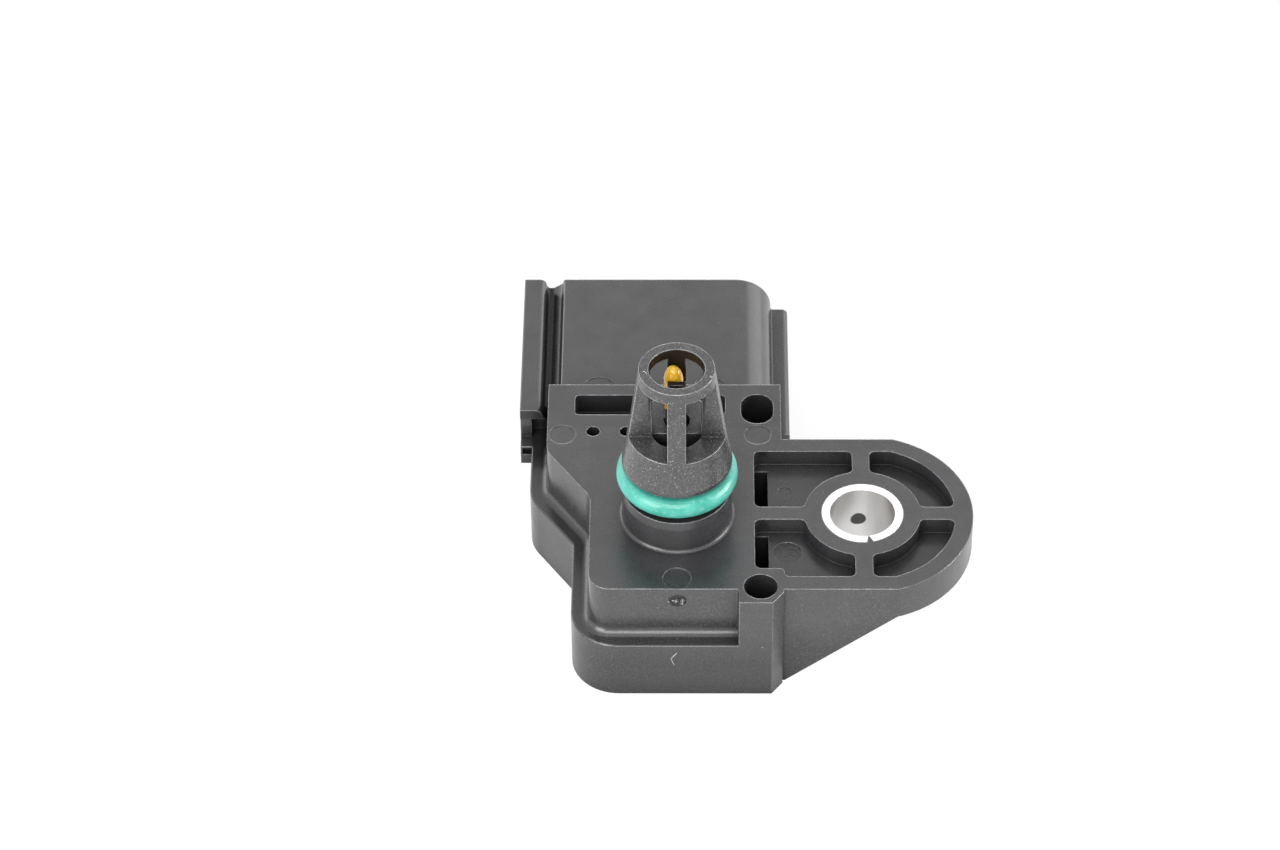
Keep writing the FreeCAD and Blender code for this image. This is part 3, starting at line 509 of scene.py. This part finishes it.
def bright_steel(name):
    """Rolled bush: streaks along its bore, dull bands, painted shade on its right side and in its hollows,
    and painted light on its top faces.
    """
    made, tree, shader = new_material(name)
    where = place_coordinates(tree)
    drawn = stretched(tree, where, (1500.0, 1500.0, 60.0))
    streaks = noise(tree, drawn, scale=1.0, detail=4.0, roughness=0.6)
    wide = stretched(tree, where, (190.0, 190.0, 40.0))
    bands = noise(tree, wide, scale=1.0, detail=2.0, roughness=0.5)
    brushed = ramp(tree, streaks, 0.3, 0.7)
    body = mix_colour(tree, brushed, (0.76, 0.75, 0.74, 1.0), (0.86, 0.85, 0.84, 1.0))
    body = mix_colour(tree, ramp(tree, bands, 0.48, 0.72, 0.0, 0.5), body, (0.34, 0.33, 0.32, 1.0))
    # Painted shade on the right side of the bush
    shaded_span = tuple(screw_x + reach for reach in bush_shade_reach)
    shaded_right_side = across(tree, split(tree, where)[0], shaded_span, 0.0, 0.6)
    body = mix_colour(tree, shaded_right_side, body, (0.30, 0.285, 0.27, 1.0))
    # Painted highlight: faces turned upwards are near white
    upward = split(tree, true_normal(tree))[2]
    body = mix_colour(tree, ramp(tree, upward, 0.8, 0.9), body, (0.97, 0.965, 0.96, 1.0))
    # Painted shade in the bush's hollows
    hollow_shade = ramp(tree, occlusion(tree, 2.5 * MM), 0.15, 0.7, 0.7, 1.0)
    body = mix_colour(tree, hollow_shade, (0.10, 0.10, 0.10, 1.0), body)
    link(tree, body, shader.inputs["Base Color"])
    shader.inputs["Metallic"].default_value = 1.0
    link(tree, ramp(tree, streaks, 0.3, 0.7, 0.30, 0.36), shader.inputs["Roughness"])
    rounded = rounded_normal(tree, 0.1 * MM)
    surface = bump(tree, streaks, distance=0.004 * MM, strength=0.3, normal=rounded)
    link(tree, surface, shader.inputs["Normal"])
    return made


def amber_resin(name, deep, bright, lowest=None):
    """Amber epoxy with a glassy skin; below the lowest height, in millimetres, the dark wire shows."""
    made, tree, shader = new_material(name)
    where = place_coordinates(tree)
    cloud = noise(tree, where, scale=900.0, detail=3.0, roughness=0.5)
    body = mix_colour(tree, ramp(tree, cloud, 0.3, 0.7), deep, bright)
    if lowest is not None:
        fade = (lowest - coated_fade, lowest + coated_fade)
        coated = across(tree, split(tree, where)[2], fade)
        body = mix_colour(tree, coated, (0.09, 0.07, 0.055, 1.0), body)
    link(tree, body, shader.inputs["Base Color"])
    link(tree, ramp(tree, cloud, 0.3, 0.7, 0.10, 0.16), shader.inputs["Roughness"])
    shader.inputs["IOR"].default_value = 1.50
    shader.inputs["Coat Weight"].default_value = 0.3
    shader.inputs["Coat Roughness"].default_value = 0.05
    link(tree, bump(tree, cloud, distance=0.003 * MM, strength=0.3), shader.inputs["Normal"])
    return made


def plain_finish(name, first, second, roughness, metallic=0.0, scale=900.0, transmission=0.0, ior=1.5):
    """A finish with two shades of one colour, grain and uneven gloss."""
    made, tree, shader = new_material(name)
    where = place_coordinates(tree)
    cloud = ramp(tree, noise(tree, where, scale=scale, detail=4.0, roughness=0.6), 0.3, 0.7)
    link(tree, mix_colour(tree, cloud, first + (1.0,), second + (1.0,)), shader.inputs["Base Color"])
    link(tree, ramp(tree, cloud, 0.0, 1.0, roughness, roughness + 0.1), shader.inputs["Roughness"])
    shader.inputs["Metallic"].default_value = metallic
    shader.inputs["Transmission Weight"].default_value = transmission
    shader.inputs["IOR"].default_value = ior
    fine = noise(tree, where, scale=scale * 6.0, detail=3.0, roughness=0.6)
    link(tree, bump(tree, fine, distance=0.005 * MM, strength=0.5), shader.inputs["Normal"])
    return made


def torn_plastic(name):
    """Broken face of the moulding: near black, with bright crumbs."""
    made, tree, shader = new_material(name)
    where = place_coordinates(tree)
    coarse = noise(tree, where, scale=2600.0, detail=4.0, roughness=0.7)
    crumbs = ramp(tree, coarse, 0.57, 0.63)
    body = mix_colour(tree, crumbs, (0.010, 0.010, 0.011, 1.0), (0.50, 0.50, 0.51, 1.0))
    link(tree, body, shader.inputs["Base Color"])
    link(tree, ramp(tree, coarse, 0.3, 0.7, 0.5, 0.25), shader.inputs["Roughness"])
    link(tree, bump(tree, coarse, distance=0.08 * MM, strength=1.0), shader.inputs["Normal"])
    return made


def dress(name, material):
    """Gives a node its material in place of the plain one that it came with."""
    held = nodes[name]
    held.data.materials.clear()
    held.data.materials.append(material)
    held.material_slots[0].material = material


def outer_finishes():
    """Materials of the pieces that show, by node."""
    coating = amber_resin(
        "lead_coating",
        deep=(1.0, 0.42, 0.014, 1.0),
        bright=(1.0, 0.54, 0.03, 1.0),
        lowest=coated_from,
    )
    tin = plain_finish(
        "terminal_tin", (0.72, 0.71, 0.69), (0.82, 0.81, 0.79), 0.22, metallic=1.0, scale=1500.0)
    finishes = {name: tin for name in nodes if name.startswith("terminal_")}
    finishes["housing"] = moulded_plastic(
        "housing_plastic",
        dark=(0.031, 0.031, 0.033, 1.0),
        light=(0.047, 0.046, 0.049, 1.0),
        edge=(0.40, 0.40, 0.42, 1.0),
        roughness=0.26,
    )
    finishes["back_cover"] = moulded_plastic(
        "cover_plastic",
        dark=(0.030, 0.030, 0.032, 1.0),
        light=(0.044, 0.044, 0.046, 1.0),
        edge=(0.20, 0.20, 0.205, 1.0),
        roughness=0.36,
    )
    finishes["thermistor_bead"] = amber_resin(
        "bead_resin",
        deep=(1.0, 0.50, 0.020, 1.0),
        bright=(1.0, 0.58, 0.035, 1.0),
    )
    finishes["thermistor_lead_left"] = coating
    finishes["thermistor_lead_right"] = coating
    finishes["o_ring"] = rubber("ring_rubber")
    finishes["mounting_bush"] = bright_steel("bush_steel")
    return finishes


def inner_finishes():
    """Materials of the pieces in the sealed cavity, by node."""
    return {
        "cover_sealant": plain_finish("sealant", (0.045, 0.045, 0.048), (0.07, 0.07, 0.072), 0.35),
        "lead_seal": plain_finish("lead_seal_resin", (0.04, 0.03, 0.022), (0.07, 0.05, 0.035), 0.25),
        "circuit_board": plain_finish("board_ceramic", (0.72, 0.71, 0.66), (0.80, 0.79, 0.75), 0.55),
        "board_adhesive": plain_finish("adhesive", (0.30, 0.29, 0.27), (0.38, 0.37, 0.35), 0.45),
        "glass_pedestal": plain_finish(
            "pedestal_glass", (0.80, 0.88, 0.85), (0.86, 0.92, 0.90), 0.05, ior=1.47),
        "silicon_die": plain_finish("silicon", (0.22, 0.23, 0.28), (0.30, 0.30, 0.34), 0.12, metallic=0.6),
        "gel_frame": plain_finish("frame_resin", (0.05, 0.05, 0.05), (0.08, 0.08, 0.08), 0.4),
        "protective_gel": plain_finish(
            "gel", (0.75, 0.80, 0.85), (0.82, 0.86, 0.90), 0.03, transmission=0.8, ior=1.41),
        "signal_chip": plain_finish("chip_resin", (0.02, 0.02, 0.022), (0.035, 0.035, 0.037), 0.4),
        "capacitors": plain_finish("capacitor_ceramic", (0.42, 0.30, 0.19), (0.52, 0.38, 0.25), 0.35),
        "bond_wires": plain_finish("bond_metal", (0.90, 0.89, 0.86), (0.95, 0.94, 0.92), 0.2, metallic=1.0),
    }


def dress_nodes():
    finishes = {**outer_finishes(), **inner_finishes()}
    for name in sorted(nodes):
        dress(name, finishes[name])


# Floor, world and lamps
def sees_background(tree):
    """1 where the camera, a reflection or a refraction looks at this surface."""
    path = node(tree, "ShaderNodeLightPath")
    rays = ("Is Camera Ray", "Is Glossy Ray", "Is Transmission Ray")
    return largest(tree, *(path.outputs[ray] for ray in rays))


def floor_material():
    """Pale paper that shows white and keeps the shadow of the part."""
    made, tree, shader = new_material("floor_white")
    where = place_coordinates(tree)
    seen = sees_background(tree)
    shade = ramp(tree, seen, 0.0, 1.0, floor_for_light, floor_for_camera)
    paper = ramp(tree, noise(tree, where, scale=90.0, detail=3.0, roughness=0.5), 0.3, 0.7, 0.985, 1.0)
    grey = node(tree, "ShaderNodeCombineColor")
    for channel in ("Red", "Green", "Blue"):
        link(tree, multiply(tree, shade, paper), grey.inputs[channel])
    link(tree, grey.outputs["Color"], shader.inputs["Base Color"])
    shader.inputs["Roughness"].default_value = 0.9
    shader.inputs["Specular IOR Level"].default_value = 0.0
    away = measure(tree, "LENGTH", where)
    strength = multiply(tree, seen, ramp(tree, away, *glow_rise, glow_least, 1.0))
    glow = node(tree, "ShaderNodeEmission", Color=white)
    link(tree, strength, glow.inputs["Strength"])
    both = node(tree, "ShaderNodeAddShader")
    link(tree, shader.outputs["BSDF"], both.inputs[0])
    link(tree, glow.outputs["Emission"], both.inputs[1])
    output = [n for n in tree.nodes if n.type == "OUTPUT_MATERIAL"][0]
    link(tree, both.outputs["Shader"], output.inputs["Surface"])
    return made


def make_floor():
    mesh = bpy.data.meshes.new("floor")
    sides = ((-1, -1), (1, -1), (1, 1), (-1, 1))
    corners = [(x * floor_half_size, y * floor_half_size, floor_height) for x, y in sides]
    mesh.from_pydata(corners, [], [(0, 1, 2, 3)])
    mesh.materials.append(floor_material())
    floor = bpy.data.objects.new("floor", mesh)
    scene.collection.objects.link(floor)


def make_world():
    world = bpy.data.worlds.new("world")
    scene.world = world
    world.use_nodes = True
    tree = world.node_tree
    background = [n for n in tree.nodes if n.type == "BACKGROUND"][0]
    background.inputs["Color"].default_value = white
    strength = ramp(tree, sees_background(tree), 0.0, 1.0, world_strength, 1.0)
    link(tree, strength, background.inputs["Strength"])


def soft_lamp(name, azimuth, elevation, radiance):
    """A square soft box that shines on the nozzle's foot."""
    data = bpy.data.lights.new(name, "AREA")
    data.shape = "RECTANGLE"
    data.size = lamp_side
    data.size_y = lamp_side
    data.energy = radiance * math.pi * lamp_side * lamp_side
    lamp = bpy.data.objects.new(name, data)
    lamp.visible_camera = False
    scene.collection.objects.link(lamp)
    a = math.radians(azimuth)
    e = math.radians(elevation)
    towards = Vector((math.sin(a) * math.cos(e), -math.cos(a) * math.cos(e), math.sin(e)))
    lamp.rotation_mode = "QUATERNION"
    lamp.location = towards * lamp_distance
    lamp.rotation_quaternion = towards.to_track_quat("Z", "Y")


def light_scene():
    """A ring of soft boxes round the part, strongest in front and to the right, and one from above."""
    make_world()
    for name, azimuth, elevation, radiance in lamps:
        soft_lamp(name, azimuth, elevation, radiance)


# Small marks that stand on the moulding
def add_mark(name, vertices, faces, material):
    """A closed mesh in metres that rides on the body."""
    mesh = bpy.data.meshes.new(name)
    mesh.from_pydata([tuple(v) for v in vertices], [], faces)
    mesh.update()
    for polygon in mesh.polygons:
        polygon.use_smooth = True
    mesh.materials.append(material)
    piece = bpy.data.objects.new(name, mesh)
    scene.collection.objects.link(piece)
    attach(piece, "root")


def gate_mark(material):
    """Torn-off runner on the front wall: a ragged, lumpy disc that sinks into the wall at its rim."""
    vertices = [gate_point(0.0, 0.0)]
    for ring in range(1, gate_rings + 1):
        for step in range(gate_steps):
            vertices.append(gate_point(ring / gate_rings, 2.0 * math.pi * step / gate_steps))
    back = len(vertices)
    vertices.append(Vector((gate_x, wall_y + 2.0 * gate_sink, gate_z)) * MM)
    faces = [(0, 1 + step, 1 + (step + 1) % gate_steps) for step in range(gate_steps)]
    for ring in range(gate_rings - 1):
        inner = 1 + ring * gate_steps
        outer = inner + gate_steps
        for step in range(gate_steps):
            following = (step + 1) % gate_steps
            faces.append((inner + step, outer + step, outer + following, inner + following))
    rim = 1 + (gate_rings - 1) * gate_steps
    faces += [(back, rim + (step + 1) % gate_steps, rim + step) for step in range(gate_steps)]
    add_mark("gate_mark", vertices, faces, material)


def gate_point(share, angle):
    """Place on the mark at a share of its radius; its relief comes from smooth noise."""
    sideways = gate_radius_x * share * math.cos(angle)
    up = gate_radius_z * share * math.sin(angle)
    lumps = field.noise(Vector((sideways * lump_scale, up * lump_scale, 4.0)))
    crumbs = field.noise(Vector((sideways * crumb_scale, up * crumb_scale, 9.0)))
    ridge = math.exp(-((share - ridge_place) / ridge_width) ** 2)
    fade = 1.0 - max(0.0, (share - fade_place) / fade_width) ** 2
    lumpy = base_share + ridge_share * ridge + lump_share * lumps + crumb_share * crumbs
    depth = gate_height * lumpy * fade - gate_sink * (1.0 - fade)
    return Vector((gate_x + sideways, wall_y - depth, gate_z + up)) * MM


def thread_circle(points, index):
    """Circle of the thread at one of its inner points, thinner towards the ends."""
    along = (points[index + 1] - points[index - 1]).normalized()
    first = along.orthogonal().normalized()
    second = along.cross(first)
    bulge = math.sin(math.pi * index / (len(points) - 1))
    thin = thread_end_share + (1.0 - thread_end_share) * bulge
    circle = []
    for side in range(thread_sides):
        turn = 2.0 * math.pi * side / thread_sides
        outward = first * math.cos(turn) + second * math.sin(turn)
        circle.append(points[index] + outward * (thread_radius * MM) * thin)
    return circle


def swept_thread(points):
    """Vertices and faces of a thin closed tube through the points."""
    vertices = [points[0]]
    faces = []
    last = len(points) - 1
    for index in range(1, last):
        vertices += thread_circle(points, index)
    vertices.append(points[last])
    for side in range(thread_sides):
        following = (side + 1) % thread_sides
        faces.append((0, 1 + following, 1 + side))
        for index in range(last - 2):
            low = 1 + index * thread_sides
            high = low + thread_sides
            faces.append((low + side, low + following, high + following, high + side))
        low = 1 + (last - 2) * thread_sides
        faces.append((len(vertices) - 1, low + side, low + following))
    return vertices, faces


def bent_line(corners):
    """Smooth line through three points, in metres."""
    start, middle, end = [Vector(corner) * MM for corner in corners]
    control = middle * 2.0 - (start + end) / 2.0
    line = []
    for step in range(thread_steps + 1):
        t = step / thread_steps
        line.append(start * (1 - t) ** 2 + control * 2 * t * (1 - t) + end * t ** 2)
    return line


def threads(name, lines, material):
    """One piece of several thin threads, such as flash curls."""
    vertices = []
    faces = []
    for corners in lines:
        more, skin = swept_thread(bent_line(corners))
        offset = len(vertices)
        vertices += more
        faces += [tuple(index + offset for index in face) for face in skin]
    add_mark(name, vertices, faces, material)


def add_marks():
    gate_mark(torn_plastic("torn_plastic"))
    pale = plain_finish("flash_plastic", (0.60, 0.60, 0.61), (0.78, 0.78, 0.79), 0.35, scale=2500.0)
    threads("flash_curls", flash_curls, pale)
    threads("face_scratch", face_scratch, pale)


make_camera()
light_scene()
make_floor()
dress_nodes()
add_marks()

scene.view_settings.view_transform = "Standard"
